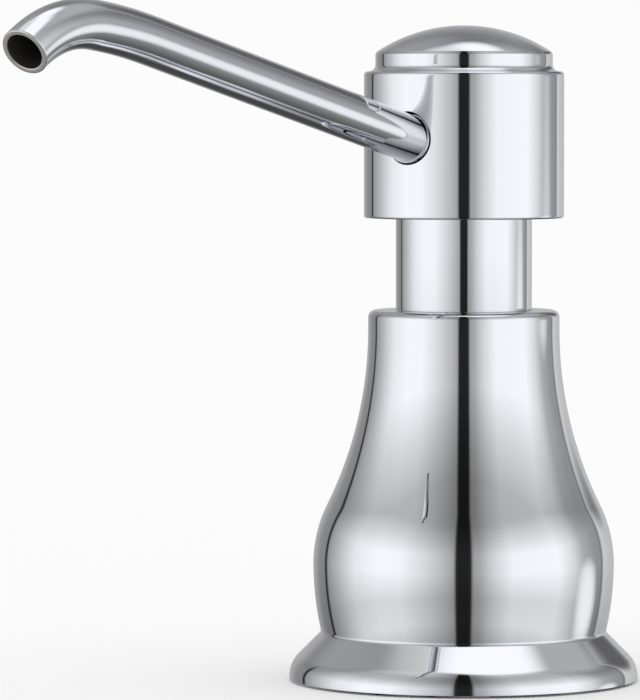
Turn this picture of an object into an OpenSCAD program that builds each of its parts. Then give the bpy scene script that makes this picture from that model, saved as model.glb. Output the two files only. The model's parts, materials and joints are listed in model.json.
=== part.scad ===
// Soap pump dispenser for a sink deck: bell body, sliding collar, swivelling head with a bent spout,
// and the plunger pump that works inside them.
// Frame: +Z up, origin on the pump's axis at the underside of the base gasket, spout towards -Y.
// Units: millimetres. Every piece is drawn at rest, which is the head fully up.

/* [Bell] */
// Height of the bell above the deck
bell_h = 61.7; // [58:0.1:75]
// Outer radius of the bell's upper, straight part
bell_top_r = 15.9; // [15:0.1:18]
// Widest radius of the bell's belly
belly_r = 25; // [23.5:0.1:28]
// Height of the belly's widest place
belly_z = 19.5; // [17:0.5:23]
// Radius of the round of the belly, above its widest place
belly_curve = 22; // [15:0.5:30]
// Radius of the round of the belly, below its widest place
belly_under_curve = 50; // [40:1:80]
// Height at which the bell's neck becomes straight
waist_z = 58.5; // [50:0.5:59]
// Wall thickness of the bell
bell_wall = 1.8; // [1.4:0.1:2.2]
// Rounding of the bell's top edge
lip_round = 1.2; // [0.4:0.1:1.6]
// Thickness of the bell's top
bell_lid = 1.5; // [1.2:0.1:2]

/* [Foot] */
// Outer radius of the bell's foot
foot_r = 29; // [28:0.1:34]
// Height of the foot, up to the crease under the belly
foot_h = 8.4; // [8:0.1:11]
// Radius of the cove between the crease and the foot's slope
foot_cove = 0.8; // [0.4:0.1:1.4]
// Radius of the round at the foot's outer edge
foot_round = 5; // [3:0.1:6]
// Steepness of the foot's slope, in degrees from upright
foot_slope = 45; // [40:1:50]
// How far the base gasket stands proud of the foot
gasket_proud = 0.2; // [0.1:0.05:0.8]
// Depth of the gasket's groove in the foot
gasket_groove = 1.2; // [0.8:0.1:1.6]
// Width of the gasket
gasket_w = 2.4; // [1.6:0.1:3]
// Wall left between the gasket's groove and the foot's edge
gasket_inset = 1.7; // [1.4:0.1:2]

/* [Collar and stroke] */
// Travel of the head when it is pressed
stroke = 14; // [10:0.5:14]
// Gap left between head and bell when the head is fully down
head_reserve = 1.3; // [0.5:0.1:4]
// Outer radius of the collar
sleeve_r = 11.3; // [11:0.1:12]
// Wall thickness of the collar
sleeve_wall = 0.9; // [0.7:0.1:1]
// Length of the plastic bush that guides the collar
bush_l = 7.3; // [6:0.1:8]
// Height of the wiper ring above the bush
wiper_h = 1.2; // [0.8:0.1:2]

/* [Head] */
// Outer radius of the head
head_r = 16.6; // [16:0.05:20]
// Height of the head's straight side
head_h = 24.3; // [23:0.1:32]
// Wall thickness of the head
head_wall = 1.75; // [1.4:0.05:2.2]
// Thickness of the head's top plate
head_lid = 1.9; // [1.4:0.1:2.6]
// Rounding of the head's top edge
head_round = 0.65; // [0.3:0.05:1]
// Radius of the cove between head and cap
cap_cove = 1.1; // [0.6:0.1:1.4]
// Outer radius of the cap's band
cap_r = 14.7; // [14:0.05:15]
// Height of the cap's band
cap_band = 2; // [1.5:0.1:4]
// Rise of the cap's dome above its band
dome_rise = 4.5; // [3:0.1:7]
// Outer radius of the cap's spigot, which is pressed into the head
spigot_r = 12; // [10:0.1:12.5]
// Length of the cap's spigot
spigot_l = 3.6; // [3:0.1:4]
// Wall thickness of the cap
cap_wall = 1.6; // [1.2:0.1:2]

/* [Spout] */
// Outer radius of the spout's tube
tube_r = 3.85; // [3.5:0.05:4.3]
// Wall thickness of the spout's tube
tube_wall = 0.9; // [0.6:0.1:1.2]
// Slope of the spout above the horizontal, in degrees
spout_rise = 12.5; // [8:0.1:14]
// Height of the spout's axis above the head's underside, on the pump's axis
spout_up = 9.65; // [9.4:0.05:12]
// Length from the pump's axis to the start of the spout's bend
spout_l = 88.7; // [60:0.1:130]
// Radius of the bend's first, gentle part
bend_1_r = 117; // [30:1:140]
// Angle of the bend's first part
bend_1_angle = 6.8; // [5:0.1:30]
// Radius of the bend's second, tighter part
bend_2_r = 24.7; // [14:0.1:40]
// Angle of the bend's second part
bend_2_angle = 39.2; // [10:0.1:70]
// Straight length at the spout's mouth
tip_l = 0.5; // [0.5:0.1:20]
// Gap round the spout where it passes through the head's side, with the ferrule's neck in it
spout_gap = 0.45; // [0.35:0.05:0.7]
// Distance of the spout's inner end from the pump's axis
spout_root = 6.5; // [6:0.1:7]

/* [Pump] */
// Radius of the pump's cylinder bore
bore_r = 6.05; // [5.8:0.05:6.3]
// Wall thickness of the pump's cylinder
bore_wall = 1.95; // [1.6:0.05:2.1]
// Outer radius of the pump's stem
stem_r = 3.5; // [3.3:0.1:3.6]
// Radius of the soap way through the stem
stem_bore = 1.6; // [1.2:0.1:1.7]
// Height of the piston seal
piston_h = 6; // [5:0.1:7]
// Length of the return spring at rest
spring_l = 24; // [23.8:0.1:26]
// Wire radius of the return spring
wire_r = 0.45; // [0.35:0.05:0.45]
// Mean radius of the return spring
spring_r = 4.9; // [4.7:0.1:5.2]
// Number of the spring's working coils
working_coils = 7; // [5:1:7]
// Radius of the inlet valve's ball
inlet_ball_r = 2.5; // [2.3:0.1:2.7]
// Lift of the inlet valve's ball
inlet_lift = 1.6; // [1:0.1:1.8]
// Radius of the outlet valve's ball
outlet_ball_r = 2; // [1.9:0.1:2.1]
// Lift of the outlet valve's ball
outlet_lift = 1.6; // [1:0.1:1.8]

/* [Interfaces] */
// Radius of the socket for the threaded shank under the deck
shank_r = 12; // [11:0.1:13]
// Depth of the socket for the threaded shank
shank_depth = 10; // [8:0.5:10.5]
// Radius of the socket for the dip tube
dip_r = 3.25; // [3:0.05:3.4]
// Depth of the socket for the dip tube
dip_depth = 7; // [6:0.5:7.5]

/* [Fits] */
// Radial clearance of a sliding or turning fit
run_fit = 0.05; // [0.02:0.01:0.08]
// Loose clearance between pieces that must not touch
loose_fit = 0.3; // [0.2:0.05:0.4]
// Gap between the pump's moving faces at rest
face_gap = 0.05; // [0.02:0.01:0.1]

/* [Hidden] */
$fn = 96;
eps = 0.01;
arc_steps = 24;

chrome = "silver";
brass = "goldenrod";
steel = "lightsteelblue";
natural_plastic = "whitesmoke";
grey_plastic = "dimgray";
black_rubber = [0.1, 0.1, 0.1];

// Bell: levels and radii of its inside
foot_z = gasket_proud;
lid_z = bell_h - bell_lid;
bell_bore_r = bell_top_r - bell_wall;
neck_r = belly_r - belly_under_curve + sqrt(pow(belly_under_curve, 2) - pow(belly_z - foot_h, 2));
recess_r = neck_r - bell_wall;
seat_z = 8;
seat_w = 1.4;
seat_h = 1.2;
ring_z = foot_z + 0.9;
ring_h = 1.2;
ring_bite = 1.1;
ring_w = 3.4;

// Collar: it reaches to the bottom of the bush, so that the bush guides it over the whole travel
wiper_z = lid_z - wiper_h;
bush_z = wiper_z - bush_l;
sleeve_z = bush_z + 0.3;
sleeve_low_z = sleeve_z - stroke;

// Head: levels
head_z = bell_h + stroke + head_reserve;
head_top_z = head_z + head_h;
cap_z = head_top_z + cap_cove;
head_bore_r = head_r - head_wall;
cavity_top_z = head_top_z - head_lid;
cap_top_z = cap_z + cap_band + dome_rise;
base_ring_z = head_z + 0.3;
base_ring_h = 4.3;
sleeve_flange_z = base_ring_z + base_ring_h;
sleeve_flange_h = 1.2;
sleeve_flange_r = sleeve_r + 1.7;
core_z = sleeve_flange_z + sleeve_flange_h;
core_neck_z = head_z + 2.7;
core_top_z = cavity_top_z - 0.9;
spout_z = head_z + spout_up;
stem_top_z = head_z + 7;

// Base insert, and the stack that clamps the pump's cylinder on its rim
insert_z = 0;
socket_top_z = insert_z + shank_depth;
web_h = 2.4;
boss_wall = 2.5;
housing_r = bore_r + bore_wall;
carrier_r = housing_r + 2.4;
carrier_bore_r = housing_r + 0.1;
nut_lid = 1.2;
nut_top_z = sleeve_low_z - 0.8;
flange_h = 1.4;
flange_z = nut_top_z - nut_lid - flange_h;
flange_r = carrier_r - 0.1;
gasket_h = 1;
rim_z = flange_z - gasket_h;
nut_h = 9.6;
nut_r = carrier_r + 2.6;

// Inlet valve at the bottom of the pump's cylinder
tail_z = socket_top_z + 1;
tail_r = dip_r + 2.2;
way_z = tail_z + dip_depth;
way_r = inlet_ball_r - 0.7;
way_l = 1.2;
cone_z = way_z + way_l;
chamber_r = inlet_ball_r + 0.9;
inlet_ball_z = cone_z - way_r + inlet_ball_r * sqrt(2) + 0.015;
cage_bar_z = inlet_ball_z + inlet_ball_r + inlet_lift + 0.02;
cage_z = cage_bar_z + 0.4;
cage_h = 0.8;
cage_bar_w = 1;
cage_skirt_h = 1.4;

// Spring, piston and stem
spring_z = cage_z + cage_h;
cup_z = spring_z + spring_l;
cup_h = 1;
piston_z = cup_z + cup_h + face_gap;
piston_top_z = piston_z + piston_h;
piston_r = bore_r - run_fit;
pin_r = stem_r - 0.9;
stem_foot_h = 0.8;
stem_foot_z = cup_z - stem_foot_h - face_gap;
stem_foot_r = pin_r + 0.6;
stem_shoulder_z = piston_top_z + face_gap;
guide_z = stem_shoulder_z + face_gap;
guide_plug_h = 3;
housing_top_z = guide_z + guide_plug_h;
guide_lid = 1.6;
guide_top_z = housing_top_z + guide_lid;
guide_skirt_h = 5.4;
guide_r = sleeve_r - sleeve_wall - 0.8;

// Outlet valve above the stem
outlet_ball_z = stem_top_z + sqrt(pow(outlet_ball_r, 2) - pow(stem_bore, 2)) + 0.02;
outlet_room_r = outlet_ball_r + 0.4;
outlet_room_top_z = outlet_ball_z + outlet_ball_r + outlet_lift + 0.4;

// Spout's seal and retaining collar, placed by their distance from the pump's axis
o_ring_wire = 0.75;
o_ring_at = spout_root + 2.6;
o_ring_w = 2 * o_ring_wire + 0.3;
ferrule_at = spout_root + 5;
ferrule_l = 1.8;
ferrule_wall = 1.4;
// Wall of the ferrule's neck, which shows as a thin ring round the spout
neck_wall = 0.2;

// ---- curves ----

// Points on an arc about [x, y], from angle a0 to angle a1
function arc(x, y, r, a0, a1, steps = arc_steps) =
    [for (i = [0 : steps]) let (a = a0 + (a1 - a0) * i / steps) [x + r * cos(a), y + r * sin(a)]];

// Two arcs that share a tangent, from a wide place up to a narrow one: upright at both ends.
// low_r is the radius of the lower arc, which bulges; the upper one is hollow.
function ogee(wide_r, wide_z, narrow_r, narrow_z, low_r) =
    let (
        dr = wide_r - narrow_r,
        dz = narrow_z - wide_z,
        turn = 2 * atan(dr / dz),
        high_r = dz / sin(turn) - low_r
    )
    concat(
        arc(wide_r - low_r, wide_z, low_r, 0, turn),
        arc(narrow_r + high_r, narrow_z, high_r, 180 + turn, 180)
    );

// The belly below its widest place, inset by wall
function under_belly(z0, wall) =
    let (r = belly_under_curve - wall)
    arc(belly_r - belly_under_curve, belly_z, r, -asin((belly_z - z0) / r), 0);

// The foot from its underside up to the crease: a round, a slope and a cove
function foot_outline() =
    let (
        slope_r = (1 - cos(foot_slope)) * (foot_cove + foot_round),
        slope_l = (foot_r - neck_r - slope_r) / sin(foot_slope),
        drop = (sin(foot_slope) * (foot_cove + foot_round)) + slope_l * cos(foot_slope),
        round_z = max(foot_h - drop, foot_z + 0.2)
    )
    concat(
        [[foot_r, foot_z]],
        arc(foot_r - foot_round, round_z, foot_round, 0, foot_slope),
        arc(neck_r + foot_cove, foot_h, foot_cove, 180 + foot_slope, 180)
    );

// ---- helpers ----

module turned(points) {
    rotate_extrude() polygon(points);
}

module tube(outer_r, inner_r, z0, z1) {
    difference() {
        translate([0, 0, z0]) cylinder(r = outer_r, h = z1 - z0);
        translate([0, 0, z0 - 1]) cylinder(r = inner_r, h = z1 - z0 + 2);
    }
}

module bore(r, z0, z1) {
    translate([0, 0, z0]) cylinder(r = r, h = z1 - z0);
}

// Puts the local +X axis on the spout's line, with its start on the pump's axis
module on_spout() {
    translate([0, 0, spout_z]) rotate([0, 0, -90]) rotate([0, -spout_rise, 0]) children();
}

// A rod on the spout's line, between two distances from the pump's axis
module spout_rod(r, from, to) {
    on_spout() translate([from, 0, 0]) rotate([0, 90, 0]) cylinder(r = r, h = to - from);
}

// A bend that starts along +X and turns down, with the flat outline given as its section
module bend(bend_r, angle) {
    translate([0, 0, -bend_r]) rotate([-90, -90, 0])
        rotate_extrude(angle = angle) translate([bend_r, 0]) children();
}

// Moves on to the end of a bend
module past_bend(bend_r, angle) {
    translate([0, 0, -bend_r]) rotate([0, angle, 0]) translate([0, 0, bend_r]) children();
}

// A straight run along +X, with the flat outline given as its section
module run(length) {
    rotate([0, 90, 0]) linear_extrude(length) children();
}

// ---- fixed pieces ----

module bell_shell() {
    inner_curve = belly_curve - bell_wall;
    color(chrome)
    difference() {
        turned(concat(
            foot_outline(),
            under_belly(foot_h, 0),
            ogee(belly_r, belly_z, bell_top_r, waist_z, belly_curve),
            arc(bell_top_r - lip_round, bell_h - lip_round, lip_round, 0, 90),
            [[sleeve_r + loose_fit, bell_h], [sleeve_r + loose_fit, lid_z], [bell_bore_r, lid_z]],
            reversed(ogee(belly_r - bell_wall, belly_z, bell_bore_r, bush_z - 0.3, inner_curve)),
            reversed(under_belly(seat_z + seat_h + seat_w, bell_wall)),
            [
                [recess_r - seat_w, seat_z + seat_h], [recess_r - seat_w, seat_z], [recess_r, seat_z],
                [recess_r, ring_z + ring_h], [recess_r + ring_bite, ring_z + ring_h],
                [recess_r + ring_bite, ring_z], [recess_r, ring_z], [recess_r, foot_z]
            ]
        ));
        gasket_ring(foot_z - 1);
    }
}

function reversed(list) = [for (i = [len(list) - 1 : -1 : 0]) list[i]];

// The base gasket's ring, from any level up to the bottom of its groove
module gasket_ring(z0) {
    outer_r = foot_r - gasket_inset;
    tube(outer_r, outer_r - gasket_w, z0, foot_z + gasket_groove);
}

module base_gasket() {
    color(black_rubber) gasket_ring(0);
}

module base_insert() {
    rim_w = 4;
    web_z = seat_z - web_h;
    boss_r = shank_r + boss_wall;
    color(brass)
    turned([
        [boss_r, insert_z], [boss_r, web_z], [recess_r - rim_w, web_z],
        [recess_r - rim_w, ring_z + ring_h], [recess_r, ring_z + ring_h], [recess_r, seat_z],
        [boss_r, seat_z], [boss_r, socket_top_z + web_h], [carrier_r, socket_top_z + web_h],
        [carrier_r, rim_z], [carrier_bore_r, rim_z], [carrier_bore_r, socket_top_z],
        [shank_r, socket_top_z], [shank_r, insert_z]
    ]);
}

// A snap ring with a gap and two holed ears, which holds the insert in the bell
module retaining_ring() {
    gap = 7;
    ear_r = 2.6;
    ear_hole_r = 0.9;
    outer_r = recess_r + ring_bite;
    ear_at = outer_r - ring_w;
    ear_turn = asin((gap / 2 + ear_r) / ear_at);
    color(steel)
    rotate([0, 0, 90])
    difference() {
        union() {
            difference() {
                tube(outer_r, outer_r - ring_w, ring_z, ring_z + ring_h);
                translate([0, -gap / 2, ring_z - 1]) cube([outer_r + 1, gap, ring_h + 2]);
            }
            for (side = [-1, 1]) rotate([0, 0, side * ear_turn])
                translate([ear_at, 0, ring_z]) cylinder(r = ear_r, h = ring_h);
        }
        for (side = [-1, 1]) rotate([0, 0, side * ear_turn])
            translate([ear_at - 0.5, 0, ring_z - 1]) cylinder(r = ear_hole_r, h = ring_h + 2);
    }
}

module guide_bush() {
    color(natural_plastic)
    tube(bell_bore_r, sleeve_r + run_fit, bush_z, wiper_z);
}

// Ring in the gap between bell and collar, split into a heel and a thin inner lip
module wiper_seal() {
    inner_r = sleeve_r + run_fit;
    gap = bell_bore_r - inner_r;
    web_h = 0.5;
    color(black_rubber)
    turned([
        [inner_r, wiper_z], [bell_bore_r, wiper_z], [bell_bore_r, lid_z],
        [bell_bore_r - gap * 0.58, lid_z], [bell_bore_r - gap * 0.65, wiper_z + web_h],
        [inner_r + gap * 0.24, wiper_z + web_h], [inner_r, lid_z]
    ]);
}

module pump_housing() {
    vent_r = 0.6;
    color(natural_plastic)
    difference() {
        turned([
            [dip_r, tail_z], [tail_r, tail_z], [tail_r, cone_z], [housing_r, cone_z + 1.5],
            [housing_r, flange_z], [flange_r, flange_z], [flange_r, flange_z + flange_h],
            [housing_r, flange_z + flange_h], [housing_r, housing_top_z], [bore_r, housing_top_z],
            [bore_r, cage_z], [chamber_r, cage_z], [chamber_r, cone_z + chamber_r - way_r],
            [way_r, cone_z], [way_r, way_z], [dip_r, way_z]
        ]);
        translate([0, 0, flange_z + flange_h + 3]) rotate([-90, 0, 0]) cylinder(r = vent_r, h = housing_r + 1);
    }
}

module housing_gasket() {
    color(black_rubber) tube(flange_r, carrier_bore_r, rim_z, flange_z);
}

// Eight-sided nut that clamps the cylinder's flange on the insert's rim
module clamp_nut() {
    color(grey_plastic)
    difference() {
        translate([0, 0, nut_top_z - nut_h]) cylinder(r = nut_r / cos(22.5), h = nut_h, $fn = 8);
        bore(housing_r + 0.2, flange_z, nut_top_z + 1);
        bore(carrier_r, nut_top_z - nut_h - 1, flange_z + flange_h);
    }
}

// Screwed cap of the cylinder, which guides the stem and stops the piston
module stem_guide() {
    ribs = 16;
    rib_r = 0.5;
    color(grey_plastic)
    difference() {
        turned([
            [stem_r + run_fit, guide_z], [bore_r, guide_z], [bore_r, housing_top_z],
            [housing_r, housing_top_z], [housing_r, guide_top_z - guide_skirt_h],
            [guide_r, guide_top_z - guide_skirt_h], [guide_r, guide_top_z - 0.5],
            [guide_r - 0.5, guide_top_z], [stem_r + run_fit, guide_top_z]
        ]);
        for (i = [0 : ribs - 1]) rotate([0, 0, i * 360 / ribs])
            translate([guide_r + rib_r * 0.4, 0, guide_top_z - guide_skirt_h - 1])
                cylinder(r = rib_r, h = guide_skirt_h + 2, $fn = 24);
    }
}

// Perforated cap over the inlet ball: the spring stands on it, and its cross stops the ball
module ball_cage() {
    skirt_r = chamber_r;
    skirt_bore_r = skirt_r - 0.6;
    disc_r = bore_r - 0.1;
    color(natural_plastic)
    difference() {
        union() {
            tube(disc_r, skirt_bore_r, cage_z, cage_z + cage_h);
            tube(skirt_r, skirt_bore_r, cage_z - cage_skirt_h, cage_z + cage_h);
            for (turn = [0, 90]) rotate([0, 0, turn])
                translate([-skirt_bore_r - 0.3, -cage_bar_w / 2, cage_bar_z])
                    cube([2 * skirt_bore_r + 0.6, cage_bar_w, cage_z + cage_h - cage_bar_z]);
        }
        for (turn = [45 : 90 : 315]) rotate([0, 0, turn])
            translate([skirt_bore_r - 1, -0.9, cage_z - cage_skirt_h - 1]) cube([3, 1.8, cage_skirt_h + 0.6]);
    }
}

module inlet_ball() {
    color(steel) translate([0, 0, inlet_ball_z]) sphere(r = inlet_ball_r);
}

// Centre line of the spring: a closed coil at each end, and working coils between them
module return_spring() {
    sides = 6;
    steps = 18;
    end_pitch = 2 * wire_r + 0.04;
    coils = working_coils + 2;
    pitch = (spring_l - 2 * wire_r - 2 * end_pitch) / working_coils;
    // Height of the wire after so many turns
    function rise(t) =
        t < 1 ? t * end_pitch
        : t > coils - 1 ? spring_l - 2 * wire_r - (coils - t) * end_pitch
        : end_pitch + (t - 1) * pitch;
    rings = coils * steps;
    points = [
        for (i = [0 : rings]) for (k = [0 : sides - 1])
            let (turn = 360 * i / steps, a = 360 * k / sides, out = spring_r + wire_r * cos(a))
            [out * cos(turn), out * sin(turn), spring_z + wire_r + rise(i / steps) + wire_r * sin(a)]
    ];
    faces = concat(
        [[for (k = [0 : sides - 1]) k]],
        [
            for (i = [0 : rings - 1]) for (k = [0 : sides - 1])
                let (n = (k + 1) % sides, a = i * sides, b = a + sides)
                [a + n, a + k, b + k, b + n]
        ],
        [[for (k = [sides - 1 : -1 : 0]) rings * sides + k]]
    );
    color(steel) polyhedron(points = points, faces = faces);
}

// ---- pieces that slide ----

module spring_cup() {
    lip_h = 1.2;
    lip_r = spring_r - wire_r - 0.1;
    color(steel)
    turned([
        [pin_r + run_fit, cup_z], [stem_foot_r + 0.4, cup_z], [stem_foot_r + 0.4, cup_z - lip_h],
        [lip_r, cup_z - lip_h], [lip_r, cup_z], [piston_r - 0.35, cup_z],
        [piston_r - 0.35, cup_z + cup_h], [pin_r + run_fit, cup_z + cup_h]
    ]);
}

// Cup seal with a lip at each end
module piston_seal() {
    lip = 0.55;
    hub_r = pin_r + 1.5;
    mid_z = (piston_z + piston_top_z) / 2;
    color(natural_plastic)
    turned([
        [pin_r + run_fit, piston_z], [hub_r, piston_z], [hub_r, piston_z + 1.3],
        [piston_r - lip - 0.3, piston_z + 0.2], [piston_r, piston_z + 0.2], [piston_r, piston_z + 1.2],
        [piston_r - 0.5, mid_z - 0.8], [piston_r - 0.5, mid_z + 0.8],
        [piston_r, piston_top_z - 1.2], [piston_r, piston_top_z - 0.2],
        [piston_r - lip - 0.3, piston_top_z - 0.2], [hub_r, piston_top_z - 1.3],
        [hub_r, piston_top_z], [pin_r + run_fit, piston_top_z]
    ]);
}

// ---- pieces that slide and turn ----

module pump_stem() {
    color(natural_plastic)
    turned([
        [stem_bore, stem_foot_z], [stem_foot_r - 0.3, stem_foot_z], [stem_foot_r, stem_foot_z + 0.3],
        [stem_foot_r, stem_foot_z + stem_foot_h], [pin_r, stem_foot_z + stem_foot_h],
        [pin_r, stem_shoulder_z], [stem_r, stem_shoulder_z], [stem_r, stem_top_z],
        [stem_bore, stem_top_z]
    ]);
}

module outlet_ball() {
    color(steel) translate([0, 0, outlet_ball_z]) sphere(r = outlet_ball_r);
}

// Moulded block that carries the soap from the stem round to the spout
module delivery_core() {
    way_out_r = outlet_ball_r - 0.4;
    body_r = head_bore_r - 0.1;
    neck_r = sleeve_r - sleeve_wall - 0.1;
    color(grey_plastic)
    difference() {
        union() {
            translate([0, 0, core_z]) cylinder(r = body_r, h = core_top_z - core_z);
            translate([0, 0, core_neck_z]) cylinder(r = neck_r, h = core_z - core_neck_z + eps);
        }
        bore(stem_r, core_neck_z - 1, stem_top_z);
        bore(outlet_room_r, stem_top_z - eps, outlet_room_top_z);
        spout_rod(way_out_r, 0, spout_root + eps);
        spout_rod(tube_r, spout_root, head_r);
        spout_rod(tube_r + 2 * o_ring_wire, o_ring_at - o_ring_w / 2, o_ring_at + o_ring_w / 2);
        spout_rod(tube_r + ferrule_wall, ferrule_at, head_r);
    }
}

module stem_sleeve() {
    color(chrome)
    turned([
        [sleeve_r - sleeve_wall, sleeve_z], [sleeve_r, sleeve_z], [sleeve_r, sleeve_flange_z],
        [sleeve_flange_r, sleeve_flange_z], [sleeve_flange_r, core_z], [sleeve_r - sleeve_wall, core_z]
    ]);
}

// Ring screwed into the head's underside, which holds the collar's flange against the core
module head_base_ring() {
    notch_w = 1.6;
    notch_h = 1;
    color(chrome)
    difference() {
        tube(head_bore_r, sleeve_r + 0.05, base_ring_z, sleeve_flange_z);
        for (turn = [0, 90]) rotate([0, 0, turn])
            translate([-head_bore_r - 1, -notch_w / 2, base_ring_z - 1])
                cube([2 * head_bore_r + 2, notch_w, notch_h + 1]);
    }
}

module head_shell() {
    color(chrome)
    difference() {
        turned(concat(
            [[head_bore_r, head_z]],
            arc(head_r - 0.3, head_z + 0.3, 0.3, -90, 0, 8),
            arc(head_r - head_round, head_top_z - head_round, head_round, 0, 90, 8),
            arc(cap_r + cap_cove, cap_z, cap_cove, -90, -180, 12),
            [[spigot_r, cap_z], [spigot_r, cavity_top_z], [head_bore_r, cavity_top_z]]
        ));
        spout_rod(tube_r + spout_gap, head_bore_r / 2, head_r + 5);
    }
}

// Domed button with a band, pressed into the head's top
module head_cap() {
    edge = 0.5;
    band_top_z = cap_z + cap_band;
    dome_r = (pow(cap_r, 2) + pow(dome_rise, 2)) / (2 * dome_rise);
    dome_centre_z = cap_top_z - dome_r;
    edge_turn = asin((cap_r - edge) / (dome_r - edge));
    inner_r = dome_r - cap_wall;
    spigot_bore_r = spigot_r - cap_wall;
    inner_top_z = cap_top_z - cap_wall;
    inner_turn = asin(spigot_bore_r / inner_r);
    color(chrome)
    turned(concat(
        [[spigot_r, cap_z - spigot_l], [spigot_r, cap_z], [cap_r, cap_z], [cap_r, band_top_z - edge]],
        arc(0, dome_centre_z, dome_r, 90 - edge_turn, 90),
        [[0, inner_top_z]],
        arc(0, dome_centre_z, inner_r, 90, 90 - inner_turn, 12),
        [[spigot_bore_r, cap_z - spigot_l]]
    ));
}

// The bends are a hair thinner than the straight runs, and each run laps the next one a little
module spout_tube() {
    thinning = 0.02;
    lap = 0.06;
    lap_angle = lap / bend_1_r * 180 / PI;
    color(chrome)
    on_spout() {
        translate([spout_root, 0, 0]) run(spout_l - spout_root + lap) tube_section();
        translate([spout_l, 0, 0]) {
            bend(bend_1_r, bend_1_angle + lap_angle) tube_section(thinning);
            past_bend(bend_1_r, bend_1_angle) {
                bend(bend_2_r, bend_2_angle) tube_section(2 * thinning);
                past_bend(bend_2_r, bend_2_angle) translate([-lap, 0, 0]) run(tip_l + lap) tube_section();
            }
        }
    }
}

module tube_section(thinning = 0) {
    difference() {
        circle(r = tube_r - thinning);
        circle(r = tube_r - tube_wall + thinning);
    }
}

// Plated collar on the spout's inner end, which stops it behind the head's wall. Its thin neck lines
// the hole in the wall.
module spout_ferrule() {
    color(chrome)
    difference() {
        union() {
            spout_rod(tube_r + ferrule_wall, ferrule_at, ferrule_at + ferrule_l);
            spout_rod(tube_r + neck_wall, ferrule_at, head_r + 0.1);
        }
        spout_rod(tube_r, ferrule_at - 1, head_r + 1);
    }
}

module spout_o_ring() {
    color(black_rubber)
    on_spout() translate([o_ring_at, 0, 0]) rotate([0, 90, 0])
        rotate_extrude() translate([tube_r + o_ring_wire, 0]) circle(r = o_ring_wire);
}

bell_shell();
base_gasket();
base_insert();
retaining_ring();
guide_bush();
wiper_seal();
pump_housing();
housing_gasket();
clamp_nut();
stem_guide();
ball_cage();
inlet_ball();
return_spring();
spring_cup();
piston_seal();
pump_stem();
outlet_ball();
delivery_core();
stem_sleeve();
head_base_ring();
head_shell();
head_cap();
spout_tube();
spout_ferrule();
spout_o_ring();
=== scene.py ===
# %% [markdown]
# # A soap pump dispenser, finished in Blender
#
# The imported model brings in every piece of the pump: the plated body and head that show, and the
# plunger pump that hides inside them. This lesson models the plated pieces again as smooth turned
# and bent work, because chrome shows every facet. It then gives each piece its finish, and builds a
# soft studio round the pump, because chrome looks like whatever stands round it.

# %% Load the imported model
import json
import math

import bpy
from mathutils import Matrix, Vector


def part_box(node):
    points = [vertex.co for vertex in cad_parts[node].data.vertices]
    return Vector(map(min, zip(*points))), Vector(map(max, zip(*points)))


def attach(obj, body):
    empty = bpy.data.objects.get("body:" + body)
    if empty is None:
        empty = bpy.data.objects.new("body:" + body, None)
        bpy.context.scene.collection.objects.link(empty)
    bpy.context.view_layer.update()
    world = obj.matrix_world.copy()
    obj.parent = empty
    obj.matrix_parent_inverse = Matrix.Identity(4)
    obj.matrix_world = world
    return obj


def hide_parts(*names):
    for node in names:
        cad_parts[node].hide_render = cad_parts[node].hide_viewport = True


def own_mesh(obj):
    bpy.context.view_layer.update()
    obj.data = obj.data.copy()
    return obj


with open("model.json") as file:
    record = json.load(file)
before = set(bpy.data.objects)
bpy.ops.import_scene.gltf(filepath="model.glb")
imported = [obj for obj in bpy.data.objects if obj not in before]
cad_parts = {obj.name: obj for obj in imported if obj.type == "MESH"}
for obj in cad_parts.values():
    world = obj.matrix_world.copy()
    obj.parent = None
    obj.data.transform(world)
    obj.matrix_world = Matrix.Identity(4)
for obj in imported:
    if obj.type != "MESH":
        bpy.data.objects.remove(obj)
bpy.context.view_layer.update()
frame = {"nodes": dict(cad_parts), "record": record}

# %% [markdown]
# ## Sizes
#
# Drawings of small turned parts are in millimetres, and Blender works in metres, so the outlines
# below are written in millimetres and scaled as they are drawn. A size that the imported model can
# tell is measured on it. The others are the shape of the piece itself: a radius of a curve, a wall
# or a rounding.

# %% Units and tolerances
MM = 0.001
WELD = 0.002 * MM
NEAR = 0.02
print("points closer than", WELD, "m are welded")


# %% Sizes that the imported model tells
def low_high(node):
    """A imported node's lowest and highest corner, in millimetres."""
    low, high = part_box(node)
    return low / MM, high / MM


bell_low, bell_high = low_high("bell_shell")
sleeve_low, sleeve_high = low_high("stem_sleeve")
head_low, head_high = low_high("head_shell")
cap_low, cap_high = low_high("head_cap")
print("bell", bell_high.x, "x", bell_high.z, "head", head_high.x, "cap top", cap_high.z)

# %% [markdown]
# ## Drawing an outline
#
# A turned piece is one flat outline swept round an axis, so all its character is in that outline.
# Straight runs need two points. Round ones are worked out as arcs, with a point every few degrees:
# fine enough that a mirror finish shows no steps. A straight run gets one more point a little
# before its rounding, which keeps the shading of the run flat right up to its end.

# %% Arcs and curves
ARC_STEP = 2.5
RUN_END = 0.3


def arc(x, z, radius, start, end, step=ARC_STEP):
    """Points on an arc about (x, z), from one angle to another, in degrees."""
    count = max(2, math.ceil(abs(end - start) / step))
    angles = [math.radians(start + (end - start) * i / count) for i in range(count + 1)]
    return [(x + radius * math.cos(a), z + radius * math.sin(a)) for a in angles]


def ogee(wide, wide_z, narrow, narrow_z, low_radius, step=0.6):
    """A bulging arc that runs on into a hollow one, upright at both ends."""
    rise = narrow_z - wide_z
    turn = 2 * math.degrees(math.atan((wide - narrow) / rise))
    high_radius = rise / math.sin(math.radians(turn)) - low_radius
    bulge = arc(wide - low_radius, wide_z, low_radius, 0, turn, step)
    hollow = arc(narrow + high_radius, narrow_z, high_radius, 180 + turn, 180, step)
    return bulge + hollow[1:]


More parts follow.
